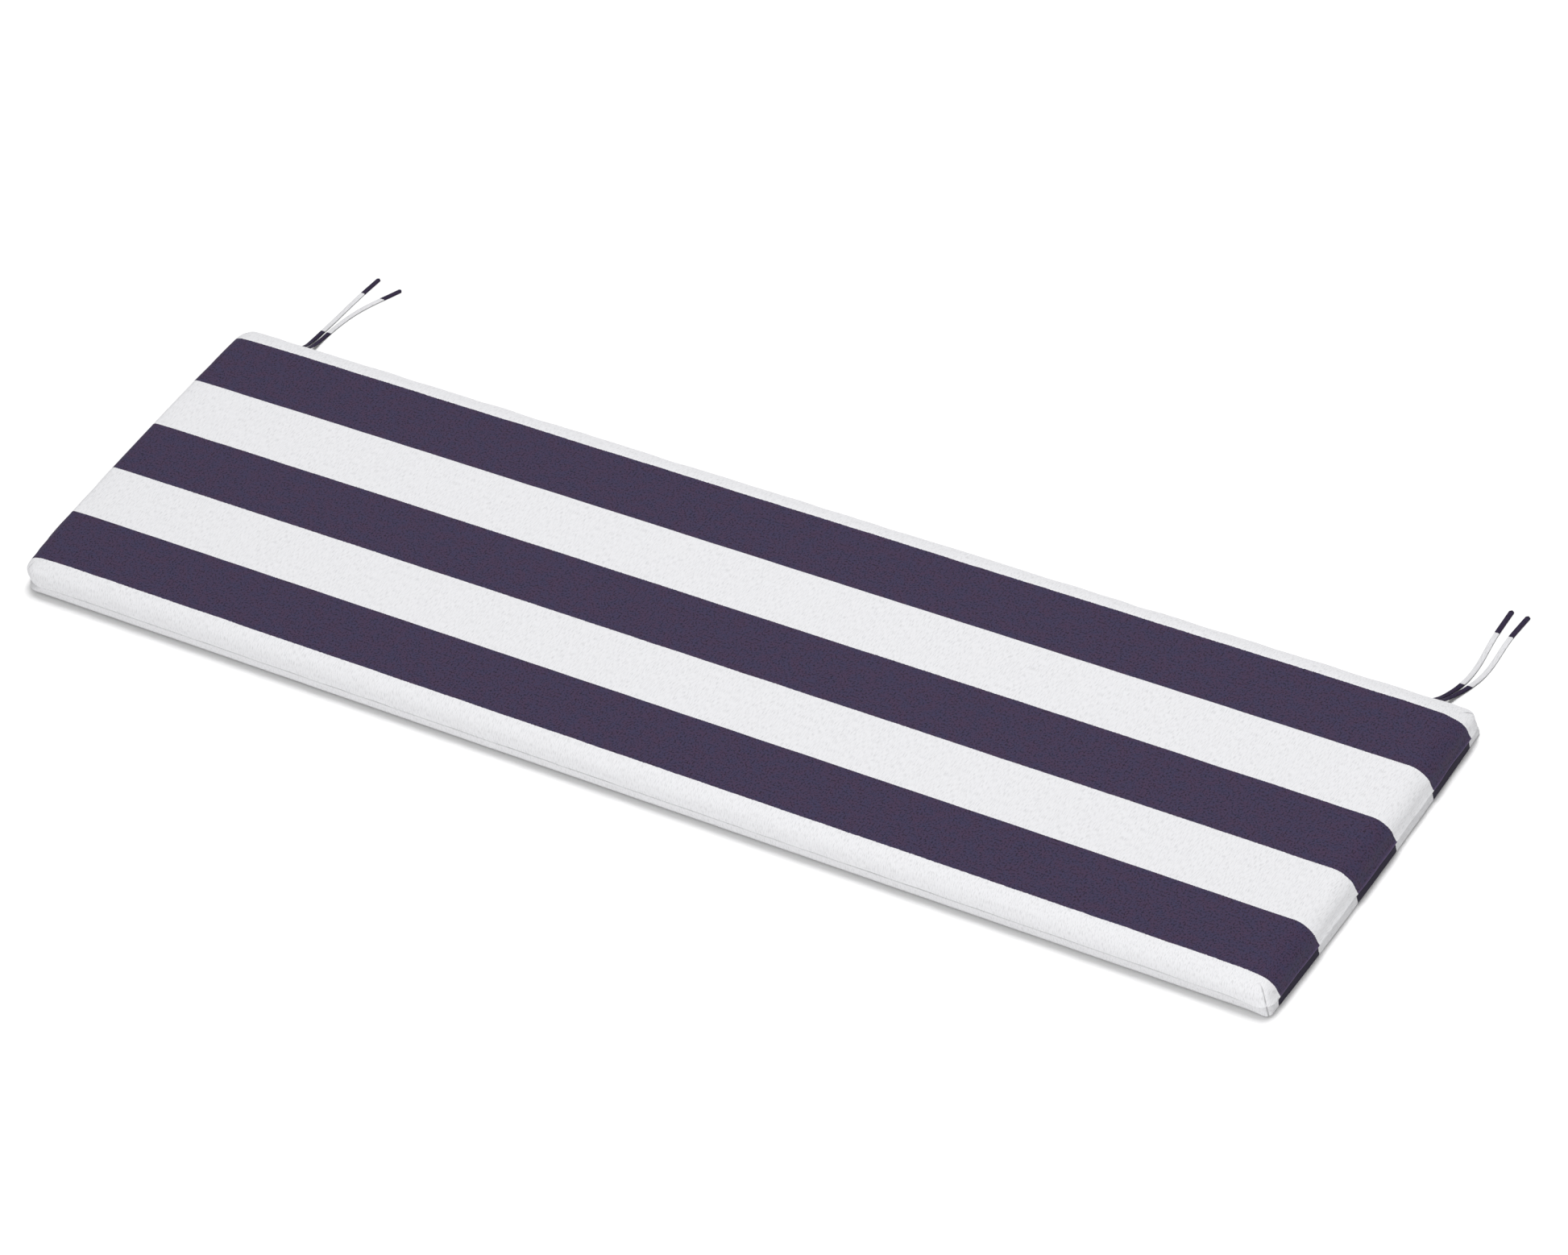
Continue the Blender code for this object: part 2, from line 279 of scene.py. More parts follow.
def add_camera():
    azimuth, elevation = CAMERA_AZIMUTH, CAMERA_ELEVATION
    back = Vector((
        math.sin(azimuth) * math.cos(elevation), -math.cos(azimuth) * math.cos(elevation),
        math.sin(elevation),
    ))
    right = Vector((math.cos(azimuth), math.sin(azimuth), 0.0))
    up = back.cross(right)
    turned_right = right * math.cos(CAMERA_ROLL) + up * math.sin(CAMERA_ROLL)
    turned_up = up * math.cos(CAMERA_ROLL) - right * math.sin(CAMERA_ROLL)
    place = CAMERA_TARGET + back * CAMERA_DISTANCE
    data = bpy.data.cameras.new("camera")
    data.lens = CAMERA_LENS
    data.sensor_width = SENSOR_WIDTH
    data.sensor_fit = "HORIZONTAL"
    data.clip_end = 60.0
    camera = bpy.data.objects.new("camera", data)
    camera.matrix_world = Matrix((
        (turned_right.x, turned_up.x, back.x, place.x),
        (turned_right.y, turned_up.y, back.y, place.y),
        (turned_right.z, turned_up.z, back.z, place.z),
        (0.0, 0.0, 0.0, 1.0),
    ))
    bpy.context.scene.collection.objects.link(camera)
    bpy.context.scene.camera = camera


def add_soft_light(name, place, size, power):
    data = bpy.data.lights.new(name, "AREA")
    data.shape = "DISK"
    data.size = size
    data.energy = power
    light = bpy.data.objects.new(name, data)
    light.location = place
    light.rotation_euler = (-Vector(place)).to_track_quat("-Z", "Y").to_euler()
    bpy.context.scene.collection.objects.link(light)


def add_studio_light():
    world = bpy.data.worlds.new("studio")
    world.use_nodes = True
    background = world.node_tree.nodes["Background"]
    background.inputs["Color"].default_value = (1.0, 1.0, 1.0, 1.0)
    background.inputs["Strength"].default_value = STUDIO_LIGHT
    bpy.context.scene.world = world
    bpy.context.scene.view_settings.view_transform = "Standard"
    for name, (place, size, power) in LAMPS.items():
        add_soft_light(name, place, size, power)


def add_floor():
    half = FLOOR_SIZE / 2
    data = bpy.data.meshes.new("floor")
    corners = [(-half, -half, 0.0), (half, -half, 0.0), (half, half, 0.0), (-half, half, 0.0)]
    data.from_pydata(corners, [], [(0, 1, 2, 3)])
    material = bpy.data.materials.new("floor")
    material.use_nodes = True
    shader = material.node_tree.nodes["Principled BSDF"]
    shader.inputs["Base Color"].default_value = FLOOR_COLOUR
    shader.inputs["Roughness"].default_value = 1.0
    shader.inputs["Specular IOR Level"].default_value = 0.0
    data.materials.append(material)
    floor = bpy.data.objects.new("floor", data)
    bpy.context.scene.collection.objects.link(floor)


# ---- node materials ----

class Nodes:
    """Short names for adding and linking the nodes of one material."""

    def __init__(self, name):
        self.material = bpy.data.materials.new(name)
        self.material.use_nodes = True
        self.tree = self.material.node_tree
        self.shader = self.tree.nodes["Principled BSDF"]

    def put(self, socket, value):
        if isinstance(value, bpy.types.NodeSocket):
            self.tree.links.new(value, socket)
        else:
            socket.default_value = value

    def math(self, operation, *values):
        node = self.tree.nodes.new("ShaderNodeMath")
        node.operation = operation
        for socket, value in zip(node.inputs, values):
            self.put(socket, value)
        return node.outputs[0]

    def between(self, value, low, high, start=0.0, end=1.0):
        """The value's place from low to high, smoothly, as a number from start to end."""
        node = self.tree.nodes.new("ShaderNodeMapRange")
        node.interpolation_type = "SMOOTHSTEP"
        for name, number in (("Value", value), ("From Min", low), ("From Max", high),
                             ("To Min", start), ("To Max", end)):
            self.put(node.inputs[name], number)
        return node.outputs["Result"]

    def mix(self, share, first, second):
        node = self.tree.nodes.new("ShaderNodeMix")
        node.data_type = "RGBA"
        colours = [socket for socket in node.inputs if socket.type == "RGBA"]
        self.put(node.inputs["Factor"], share)
        self.put(colours[0], first)
        self.put(colours[1], second)
        return [socket for socket in node.outputs if socket.type == "RGBA"][0]

    def noise(self, u, v, cell_u, cell_v, layer, detail=2.0):
        """Uneven yarn: about 0 to 1, in cells of the given size in metres along u and v."""
        place = self.tree.nodes.new("ShaderNodeCombineXYZ")
        self.put(place.inputs[0], self.math("MULTIPLY", u, 1.0 / cell_u))
        self.put(place.inputs[1], self.math("MULTIPLY", v, 1.0 / cell_v))
        self.put(place.inputs[2], float(layer))
        node = self.tree.nodes.new("ShaderNodeTexNoise")
        self.put(node.inputs["Vector"], place.outputs[0])
        node.inputs["Scale"].default_value = 1.0
        node.inputs["Detail"].default_value = detail
        return node.outputs["Fac"]

    def attribute(self, name):
        node = self.tree.nodes.new("ShaderNodeAttribute")
        node.attribute_name = name
        return node.outputs["Fac"]

    def cloth_place(self):
        uv = self.tree.nodes.new("ShaderNodeUVMap")
        uv.uv_map = "cloth"
        split = self.tree.nodes.new("ShaderNodeSeparateXYZ")
        self.tree.links.new(uv.outputs[0], split.inputs[0])
        return split.outputs[0], split.outputs[1]

    def bump(self, height, strength, distance):
        node = self.tree.nodes.new("ShaderNodeBump")
        node.inputs["Strength"].default_value = strength
        node.inputs["Distance"].default_value = distance
        self.put(node.inputs["Height"], height)
        return node.outputs[0]


def twill_height(nodes, u, v):
    """Height of a twill weave, 0 to 1, from threads both ways, and its slanting ribs, 0 to 1."""
    across = nodes.math("SINE", nodes.math("MULTIPLY", u, math.pi / THREAD_PITCH))
    along = nodes.math("SINE", nodes.math("MULTIPLY", v, math.pi / THREAD_PITCH))
    slant = nodes.math("ADD", u, v)
    rib_pitch = THREADS_PER_RIB * THREAD_PITCH
    rib = nodes.math("SINE", nodes.math("MULTIPLY", slant, math.tau / rib_pitch))
    rib = nodes.between(rib, -0.6, 0.6)
    threads = nodes.math(
        "ADD",
        nodes.math("MULTIPLY", nodes.math("ABSOLUTE", across), rib),
        nodes.math("MULTIPLY", nodes.math("ABSOLUTE", along), nodes.math("SUBTRACT", 1.0, rib)),
    )
    return threads, rib


def tinted(colour, factors):
    return (*(part * factor for part, factor in zip(colour, factors)), 1.0)


def add_up(nodes, *values):
    total = values[0]
    for value in values[1:]:
        total = nodes.math("ADD", total, value)
    return total


def white_cloth(nodes, u, v, rib):
    """Bleached yarn: fine uneven threads that run across the cushion, and some longer slubs."""
    fine = nodes.noise(u, v, 0.0009, 0.0055, 1)
    slubs = nodes.noise(u, v, 0.0018, 0.050, 2, 1.0)
    lengthwise = nodes.noise(u, v, 0.012, 0.0013, 3)
    value = add_up(
        nodes,
        nodes.between(fine, 0.28, 0.72, 0.83, 1.15),
        nodes.between(slubs, 0.3, 0.7, -0.022, 0.022),
        nodes.between(lengthwise, 0.3, 0.7, -0.012, 0.012),
        nodes.math("MULTIPLY", rib, 0.012),
    )
    return nodes.mix(value, BLACK, (*WHITE_CLOTH, 1.0))


def dark_cloth(nodes, u, v, rib):
    """Dark dyed yarn: speckled like a melange, with patches that are a little bluer or redder."""
    speckle = nodes.noise(u, v, 0.0021, 0.0021, 4)
    threads = nodes.noise(u, v, 0.0016, 0.030, 5)
    hue_speckle = nodes.noise(u, v, 0.0016, 0.0016, 6)
    patches = nodes.noise(u, v, 0.014, 0.011, 7)
    hue = add_up(
        nodes,
        nodes.between(hue_speckle, 0.25, 0.75, 0.05, 0.55),
        nodes.between(patches, 0.3, 0.7, 0.05, 0.40),
    )
    value = add_up(
        nodes,
        nodes.between(speckle, 0.30, 0.70, 0.36, 1.48),
        nodes.between(threads, 0.25, 0.75, -0.10, 0.10),
        nodes.math("MULTIPLY", rib, 0.18),
    )
    yarn = nodes.mix(hue, tinted(DARK_CLOTH, BLUISH_YARN), tinted(DARK_CLOTH, REDDISH_YARN))
    return nodes.mix(value, BLACK, yarn)


def finish_cloth(nodes, u, v, dark_share):
    """Colours, roughness and bump of the woven cloth, with the mesh's painted shade and highlight."""
    threads, rib = twill_height(nodes, u, v)
    # Painted shade darkens both cloths; a painted highlight pales the dark one's turned edge.
    shade = nodes.attribute("shade")
    white = nodes.mix(shade, white_cloth(nodes, u, v, rib), BLACK)
    highlighted = tinted(DARK_CLOTH, HIGHLIGHTED_YARN)
    dark = nodes.mix(nodes.attribute("painted_highlight"), dark_cloth(nodes, u, v, rib), highlighted)
    dark = nodes.mix(nodes.between(shade, 0.0, 0.10), dark, SHADED_DARK_CLOTH)
    nodes.put(nodes.shader.inputs["Base Color"], nodes.mix(dark_share, white, dark))
    nodes.put(nodes.shader.inputs["Normal"], nodes.bump(threads, 0.35, 0.00018))
    nodes.put(nodes.shader.inputs["Roughness"], nodes.between(threads, 0.0, 1.0, 0.88, 0.76))
    nodes.shader.inputs["Specular IOR Level"].default_value = 0.15
    nodes.shader.inputs["Sheen Weight"].default_value = 0.06
    nodes.shader.inputs["Sheen Roughness"].default_value = 0.5
    return nodes.material


def stripe_place(nodes, u, v):
    """The place across the stripes, off by a thread here and there, and in slow waves."""
    slow = nodes.math("SUBTRACT", nodes.noise(u, v, 0.055, 0.055, 8, 1.0), 0.5)
    quick = nodes.math("SUBTRACT", nodes.noise(u, v, 0.0011, 0.0030, 9, 1.0), 0.5)
    ragged = add_up(
        nodes, nodes.math("MULTIPLY", slow, 0.0010), nodes.math("MULTIPLY", quick, 0.0016))
    return nodes.math("ADD", nodes.attribute("across"), ragged)


def past_edge(nodes, place, edge):
    """0 before a stripe's edge to 1 past it."""
    return nodes.between(place, edge - STRIPE_BLUR, edge + STRIPE_BLUR)


def cover_material():
    nodes = Nodes("cover_cloth")
    u, v = nodes.cloth_place()
    place = stripe_place(nodes, u, v)
    dark_share = 0.0
    for index, edge in enumerate(STRIPE_EDGES):
        operation = "SUBTRACT" if index % 2 else "ADD"
        dark_share = nodes.math(operation, dark_share, past_edge(nodes, place, edge))
    return finish_cloth(nodes, u, v, dark_share)


def tie_material(name, white_stretch):
    nodes = Nodes(name)
    u, v = nodes.cloth_place()
    place = stripe_place(nodes, u, v)
    first, second = white_stretch
    white_share = nodes.math(
        "SUBTRACT", past_edge(nodes, place, first), past_edge(nodes, place, second))
    return finish_cloth(nodes, u, v, nodes.math("SUBTRACT", 1.0, white_share))


# ---- the cushion's outline and heights ----

def corner_arc(corner, start_angle, level):
    """Points round one corner of the outline at a level, drawn in at the dart in its middle.

    The third column is the sewn line of the dart: 1 on it, falling to 0 beside it.
    """
    radius = corner[level["panel"]] + corner["pinch"] * level["pinch"] + level["softening"]
    radius *= level["radius_share"]
    end_inset = level["end_inset"] if corner["side_x"] > 0 else level["left_inset"]
    centre_x = corner["side_x"] * (LENGTH / 2 - end_inset - radius)
    centre_y = corner["side_y"] * (WIDTH / 2 - level["inset"] - radius)
    angles = np.radians(np.array(CORNER_ANGLES, float))
    off_dart = radius * (angles - math.radians(45.0)) / DART_HALF_WIDTH
    reach = radius - level["dart"] * np.exp(-off_dart ** 2)
    turn = angles + math.radians(start_angle)
    line = np.exp(-(off_dart * 1.6) ** 2) * level["dart"] / DART_DEPTH
    return np.stack((centre_x + reach * np.cos(turn), centre_y + reach * np.sin(turn), line), axis=1)


def outline(level):
    """The plan points at a level: each corner's arc, then the side that follows it."""
    arcs = [corner_arc(corner, 90 * index - 90, level) for index, corner in enumerate(CORNERS)]
    parts = []
    for index, arc in enumerate(arcs):
        segments = END_SEGMENTS if index % 2 == 0 else LONG_SIDE_SEGMENTS
        following = arcs[(index + 1) % len(arcs)][0]
        share = np.arange(1, segments)[:, None] / segments
        parts.append(arc)
        parts.append(arc[-1] + (following - arc[-1]) * share)
    points = np.concatenate(parts)
    across = points[:, 1] / (WIDTH / 2)
    points[:, 0] *= 1.0 - END_BOW / (LENGTH / 2) * across ** 2
    return points


def top_height(points):
    """The crowned top face."""
    along = 2.0 * points[:, 0] / LENGTH
    across = 2.0 * points[:, 1] / WIDTH
    return SHOULDER_HEIGHT + CROWN * (1.0 - along ** 4) * (1.0 - across ** 2)


def seam_height(points):
    """The seam's middle line, lower at the ends."""
    end_share = smooth_step(LENGTH / 2 - END_SEAM_REACH, LENGTH / 2, np.abs(points[:, 0]))
    return SEAM_HEIGHT + (END_SEAM_HEIGHT - SEAM_HEIGHT) * end_share


def lower_edge_height(points):
    return LOWER_EDGE_HEIGHT + (LOWER_EDGE_HEIGHT_AT_ENDS - LOWER_EDGE_HEIGHT) * near_end(points)


# ---- the cover's rings, from the resting face up to the top face ----

def ring(height_at, panel, inset, end_inset=None, left_inset=None, pinch=0.0, softening=0.0,
         dart=DART_DEPTH, radius_share=1.0):
    """One closed row: columns x, y, z and the dart's line."""
    end_inset = inset if end_inset is None else end_inset
    left_inset = end_inset if left_inset is None else left_inset
    level = {"panel": panel, "inset": inset, "end_inset": end_inset, "left_inset": left_inset,
             "pinch": pinch, "softening": softening, "dart": dart, "radius_share": radius_share}
    points = outline(level)
    return np.column_stack((points[:, :2], height_at(points), points[:, 2]))


def lower_panel_rings():
    """From the resting face round its edge and up the wall, to below the seam."""
    rings = []
    for angle in BOTTOM_ANGLES:
        turn = math.radians(angle)

        def edge_height(points, turn=turn):
            return lower_edge_height(points) * (1.0 - math.cos(turn))

        drawn_in = 1.0 - math.sin(turn)
        rings.append(ring(
            edge_height, "lower", LIP + LOWER_EDGE_INSET * drawn_in,
            end_inset=LIP + LOWER_EDGE_INSET_AT_ENDS * drawn_in,
            dart=DART_DEPTH * (0.5 + angle / 180.0)))
    for share in WALL_SHARES:
        def wall_height(points, share=share):
            foot = lower_edge_height(points)
            return foot + (seam_height(points) + SEAM_SECTION[0][0] - foot) * share

        rings.append(ring(wall_height, "lower", LIP, pinch=share ** 2))
    return rings


def seam_rings():
    """Down into the groove along the lower panel's lip and out of it along the upper panel."""
    rings = []
    for index, (rise, inset) in enumerate(SEAM_SECTION):
        panel = "lower" if index <= SEAM_BOTTOM else "upper"
        lip_share = 1.0 if index < SEAM_BOTTOM else 0.0
        if index == SEAM_BOTTOM:
            lip_share = 0.5

        def groove_height(points, rise=rise):
            return seam_height(points) + rise

        rings.append(ring(groove_height, panel, LIP * lip_share + inset, pinch=1.0))
    return rings


def left_end_inset(rise):
    """How far the left end's upper panel is drawn in at a share of its rise."""
    depth = SHOULDER_HEIGHT - END_SEAM_HEIGHT - GROOVE_HALF_HEIGHT
    below_top = min((1.0 - rise) * depth, LEFT_ARC_RADIUS)
    on_arc = LEFT_ARC_INSET - math.sqrt(LEFT_ARC_RADIUS ** 2 - (LEFT_ARC_RADIUS - below_top) ** 2)
    if rise >= LEFT_ARC_START:
        return on_arc
    if rise <= LEFT_LEAN_START:
        return EDGE_ROUNDING * (1.0 - math.sqrt(1.0 - rise ** 2))
    share = (rise - LEFT_LEAN_START) / (LEFT_ARC_START - LEFT_LEAN_START)
    start = left_end_inset(LEFT_LEAN_START)
    return start + (left_end_inset(LEFT_ARC_START) - start) * share


def upper_panel_rings():
    """The panel's turned-down edge, a quarter of an ellipse, then a border of the top face."""
    rings = []
    for angle in ROUNDING_ANGLES:
        turn = math.radians(angle)
        rise = math.sin(turn)

        def rounded_height(points, rise=rise):
            foot = seam_height(points) + GROOVE_HALF_HEIGHT
            return foot + (top_height(points) - foot) * rise

        rings.append(ring(
            rounded_height, "upper", EDGE_ROUNDING * (1.0 - math.cos(turn)),
            left_inset=left_end_inset(rise),
            pinch=1.0 - smooth_step(0.0, PINCH_TOP, rise),
            softening=TOP_CORNER_SOFTENING * smooth_step(SOFTENING_START, 1.0, rise),
            dart=DART_DEPTH * (1.0 - smooth_step(*DART_ENDS, angle))))
    for step in range(1, INNER_RING_STEPS + 1):
        rings.append(ring(
            top_height, "upper", EDGE_ROUNDING + step * INNER_RING_SPACING,
            softening=TOP_CORNER_SOFTENING, dart=0.0,
            radius_share=1.0 - step / (INNER_RING_STEPS + 1)))
    return rings


def top_grid():
    """Points of the top face inside its border, [column along X][row along Y]."""
    border = EDGE_ROUNDING + (INNER_RING_STEPS + 1) * INNER_RING_SPACING
    x = np.linspace(-1.0, 1.0, LONG_SIDE_SEGMENTS + 1) * (LENGTH / 2 - border)
    y = np.linspace(-1.0, 1.0, END_SEGMENTS + 1) * (WIDTH / 2 - border)
    grid_x, grid_y = np.meshgrid(x, y, indexing="ij")
    points = np.column_stack((grid_x.ravel(), grid_y.ravel()))
    points[:, 0] *= 1.0 - END_BOW / (LENGTH / 2) * (points[:, 1] / (WIDTH / 2)) ** 2
    return np.column_stack((points, top_height(points)))


# ---- relief of the cloth ----

def ring_normals(rows):
    """Outward directions at each point of the stacked rings."""
    along = np.roll(rows, -1, axis=1) - np.roll(rows, 1, axis=1)
    upwards = np.gradient(rows, axis=0)
    normals = np.cross(along, upwards)
    lengths = np.linalg.norm(normals, axis=2, keepdims=True)
    return normals / np.maximum(lengths, 1e-12)


def smooth_noise(points, size, seed):
    """Even noise from -1 to 1 with features of the given size, at each point."""
    shift = Vector((seed * 13.7, seed * 5.1, seed * 9.3))
    return np.array([noise.noise(Vector(point) / size + shift) for point in points])


def distance_above(rows, row):
    """How far each point lies above a ring, along the surface, and below it as a negative number."""
    steps = np.linalg.norm(np.diff(rows, axis=0), axis=2)
    travelled = np.concatenate((np.zeros((1, rows.shape[1])), np.cumsum(steps, axis=0)))
    return travelled - travelled[row]


def turned_edge(above):
    """The rounded edge of the upper panel beside the seam: 1 on it, 0 away from it."""
    return hump(above, TURNED_EDGE_PLACE, TURNED_EDGE_WIDTH)


def cloth_relief(rows, above):
    """How far the cloth stands out: the turned edge beside the seam and soft unevenness."""
    end_share = near_end(rows)
    valley = hump(above, VALLEY_PLACE, VALLEY_WIDTH)
    relief = (TURNED_EDGE_RISE + TURNED_EDGE_ADDED_AT_ENDS * end_share) * turned_edge(above)
    relief -= (VALLEY_DEPTH + VALLEY_ADDED_AT_ENDS * end_share) * valley
    flat = rows.reshape(-1, 3)
    uneven = smooth_noise(flat, UNEVEN_SIZE, 1).reshape(above.shape)
    fine = smooth_noise(flat, FINE_UNEVEN_SIZE, 2).reshape(above.shape)
    wall = hump(above, 0.0, UNEVEN_REACH)
    relief *= 1.0 + 0.5 * uneven
    relief += (UNEVEN_RISE * uneven + FINE_UNEVEN_RISE * fine) * wall
    return relief + left_ear(rows, above)


def left_ear(rows, above):
    """The stuffed front corner of the left end, which stands out over the seam, and its dip."""
    x, y = rows[:, :, 0], rows[:, :, 1]
    on_end = near_end(rows) * (x < 0.0) * smooth_step(*EAR_STARTS, above)
    below_top = 1.0 - smooth_step(*EAR_ENDS, above)
    bulge = EAR_RISE * hump(y, EAR_PLACE, EAR_WIDTH)
    dip = DIP_DEPTH * hump(y, DIP_PLACE, DIP_WIDTH)
    return (bulge - dip) * on_end * below_top


def painted_cloth_shade(rows, above, seam_row, dart_line):
    """Painted shade: in the grooves of seam and darts, on the cloth beside them and on the lower edge.
    """
    lower = np.zeros(above.shape)
    lower[:seam_row] = 1.0
    on_end = near_end(rows)
    to_right = smooth_step(-0.5, 0.75, rows[:, :, 0])
    on_side = (1.0 - on_end) * (SIDE_PANEL_SHADE + SIDE_PANEL_ADDED_TO_RIGHT * to_right)
    beside_seam = BESIDE_SEAM_SHARE * hump(above, 0.0, BESIDE_SEAM_REACH) * (1.0 - lower)
    shade = SEAM_LINE_SHADE * hump(above, SEAM_LINE_PLACE, SEAM_LINE_WIDTH) + DART_SHADE * dart_line
    shade += END_PANEL_SHADE * lower * on_end + on_side * (lower + beside_seam)
    # Painted shade on the lower edge, strongest where it turns under to the resting face.
    for row, angle in enumerate(BOTTOM_ANGLES):
        shade[row] += LOWER_EDGE_SHADE * (1.0 - math.sin(math.radians(angle)))
    return np.clip(shade, 0.0, DARKEST_SHADE)


def painted_edge_highlight(rows, above):
    """Painted highlight that pales the turned edge beside the seam, most of all at the ends."""
    return turned_edge(above) * (EDGE_HIGHLIGHT + EDGE_HIGHLIGHT_ADDED_AT_ENDS * near_end(rows))


def ring_quads(ring_count, ring_size):
    """Corners of all faces between neighbouring rings, as indices of points."""
    row, index = np.meshgrid(np.arange(ring_count - 1), np.arange(ring_size), indexing="ij")
    following = (index + 1) % ring_size
    corners = (row * ring_size + index, row * ring_size + following,
               (row + 1) * ring_size + following, (row + 1) * ring_size + index)
    return np.stack([corner.ravel() for corner in corners], axis=1)


# ---- the filling's pressure ----

def simulation_rows(above, seam_row):
    """The rings that are simulated: the resting face, the lower wall, the seam and some above it."""
    rows = [0, BOTTOM_ANGLES.index(90), seam_row]
    for row in range(seam_row + 1, len(above)):
        if above[row] - above[rows[-1]] >= SIMULATION_RING_SPACING:
            rows.append(row)
    return rows


def swelling_proxy(start, held):
    """An open mesh of the simulated rings: some are held, the others loosely tethered."""
    level_count, count = start.shape[:2]
    data = bpy.data.meshes.new("swelling")
    data.from_pydata(start.reshape(-1, 3).tolist(), [], ring_quads(level_count, count).tolist())
    proxy = bpy.data.objects.new("swelling", data)
    bpy.context.scene.collection.objects.link(proxy)
    group = proxy.vertex_groups.new(name="held")
    for level in range(level_count):
        weight = 1.0 if level in held else TETHER
        group.add(list(range(level * count, (level + 1) * count)), weight, "REPLACE")
    return proxy


def add_filling(proxy):
    """Cloth under pressure from inside, without gravity."""
    cloth = proxy.modifiers.new("filling", "CLOTH")
    settings = cloth.settings
    settings.vertex_group_mass = "held"
    settings.pin_stiffness = 1.0
    settings.quality = 5
    settings.mass = 0.25
    settings.tension_stiffness = STRETCH_STIFFNESS
    settings.compression_stiffness = STRETCH_STIFFNESS
    settings.shear_stiffness = SHEAR_STIFFNESS
    settings.bending_stiffness = BENDING_STIFFNESS
    settings.shrink_min = -SLACK
    settings.use_pressure = True
    settings.uniform_pressure_force = PRESSURE
    settings.effector_weights.gravity = 0.0
    cloth.point_cache.frame_start = 1
    cloth.point_cache.frame_end = SIMULATION_FRAMES


def settled_points(proxy):
    """Runs the simulation, reads where the points end up, and removes the proxy."""
    scene = bpy.context.scene
    for step in range(1, SIMULATION_FRAMES + 1):
        scene.frame_set(step)
    settled = proxy.evaluated_get(bpy.context.evaluated_depsgraph_get()).to_mesh()
    places = np.empty(len(settled.vertices) * 3, np.float32)
    settled.vertices.foreach_get("co", places)
    scene.frame_set(1)
    data = proxy.data
    bpy.data.objects.remove(proxy)
    bpy.data.meshes.remove(data)
    return places.reshape(-1, 3)


def evened_out(moves):
    """The moves of each ring without their average, smoothed along the ring and capped."""
    moves = moves - moves.mean(axis=1, keepdims=True)
    reach = np.arange(-EVENED_REACH, EVENED_REACH + 1)
    weights = np.exp(-0.5 * (reach / EVENED_SPREAD) ** 2)
    weights /= weights.sum()
    moves = sum(np.roll(moves, shift, axis=1) * weight for shift, weight in zip(reach, weights))
    return np.clip(moves, -LARGEST_MOVE, LARGEST_MOVE)


def simulate_swelling(rows, seam_row, last_wall):
    """Each ring point's move outwards, against its ring's average, when pressure works on the cloth.

    The simulation runs on some rings of a slightly smaller copy, whose seam and flat faces are held.
    The rings already have the profile measured in the photograph and the simulation draws the walls
    in from it, by up to 1.7 mm, so each ring's average move is taken off. What is left are the
    puckers, which are evened out, capped and spread over all rings.
    """
    above = distance_above(rows, seam_row).mean(axis=1)
    chosen = simulation_rows(above, seam_row)
    held = [level for level, row in enumerate(chosen) if row in (0, seam_row) or row > last_wall]
    free = np.ones(len(chosen))
    free[held] = 0.0
    normals = ring_normals(rows)[chosen]
    start = rows[chosen] - normals * SWELLING * free[:, None, None]
    proxy = swelling_proxy(start, held)
    add_filling(proxy)
    moves = settled_points(proxy).reshape(start.shape) - rows[chosen]
    outwards = evened_out((moves * normals).sum(axis=2))
    outwards[held] = 0.0
    spread = [np.interp(above, above[chosen], column) for column in outwards.T]
    return np.array(spread).T


# ---- meshes of the pieces ----

def new_piece(name, points, faces, uv, measures, material):
    """A smooth mesh object: its UV map has one place for each face corner, a measure one number for
    each point.
    """
    data = bpy.data.meshes.new(name)
    data.from_pydata(points, [], faces)
    data.uv_layers.new(name="cloth").data.foreach_set("uv", np.asarray(uv, np.float32).ravel())
    for measure, values in measures.items():
        layer = data.attributes.new(measure, "FLOAT", "POINT")
        layer.data.foreach_set("value", np.asarray(values, np.float32))
    data.shade_smooth()
    data.materials.append(material)
    piece = bpy.data.objects.new(name, data)
    bpy.context.scene.collection.objects.link(piece)
    return piece


def ring_sectors():
    """For each step of a ring, whether it belongs to an end; the darts part ends from long sides."""
    arc_steps = len(CORNER_ANGLES) - 1
    middle = CORNER_ANGLES.index(45)
    on_end = []
    for index in range(4):
        segments = END_SEGMENTS if index % 2 == 0 else LONG_SIDE_SEGMENTS
        on_end += [index % 2 == 1] * middle
        on_end += [index % 2 == 0] * (arc_steps - middle + segments)
    return np.array(on_end)


def grid_quads(offset):
    rows = END_SEGMENTS + 1
    column, row = np.meshgrid(np.arange(LONG_SIDE_SEGMENTS), np.arange(END_SEGMENTS), indexing="ij")
    start = (offset + column * rows + row).ravel()
    return np.stack((start, start + rows, start + rows + 1, start + 1), axis=1)


def border_faces(last_ring, ring_size, grid_offset):
    """Joins the last ring to the grid inside it: fans of triangles at the corners, else quads."""
    rows = END_SEGMENTS + 1
    columns = LONG_SIDE_SEGMENTS + 1
    right = [grid_offset + (columns - 1) * rows + row for row in range(rows)]
    back = [grid_offset + column * rows + rows - 1 for column in reversed(range(columns))]
    left = [grid_offset + row for row in reversed(range(rows))]
    front = [grid_offset + column * rows for column in range(columns)]
    arc_steps = len(CORNER_ANGLES) - 1
    faces = []
    start = 0
    for side in (right, back, left, front):
        for outer in range(start, start + arc_steps):
            faces.append((last_ring + outer, last_ring + outer + 1, side[0]))
        start += arc_steps
        for step in range(len(side) - 1):
            outer = start + step
            following = (outer + 1) % ring_size
            faces.append((last_ring + outer, last_ring + following, side[step + 1], side[step]))
        start += len(side) - 1
    return faces


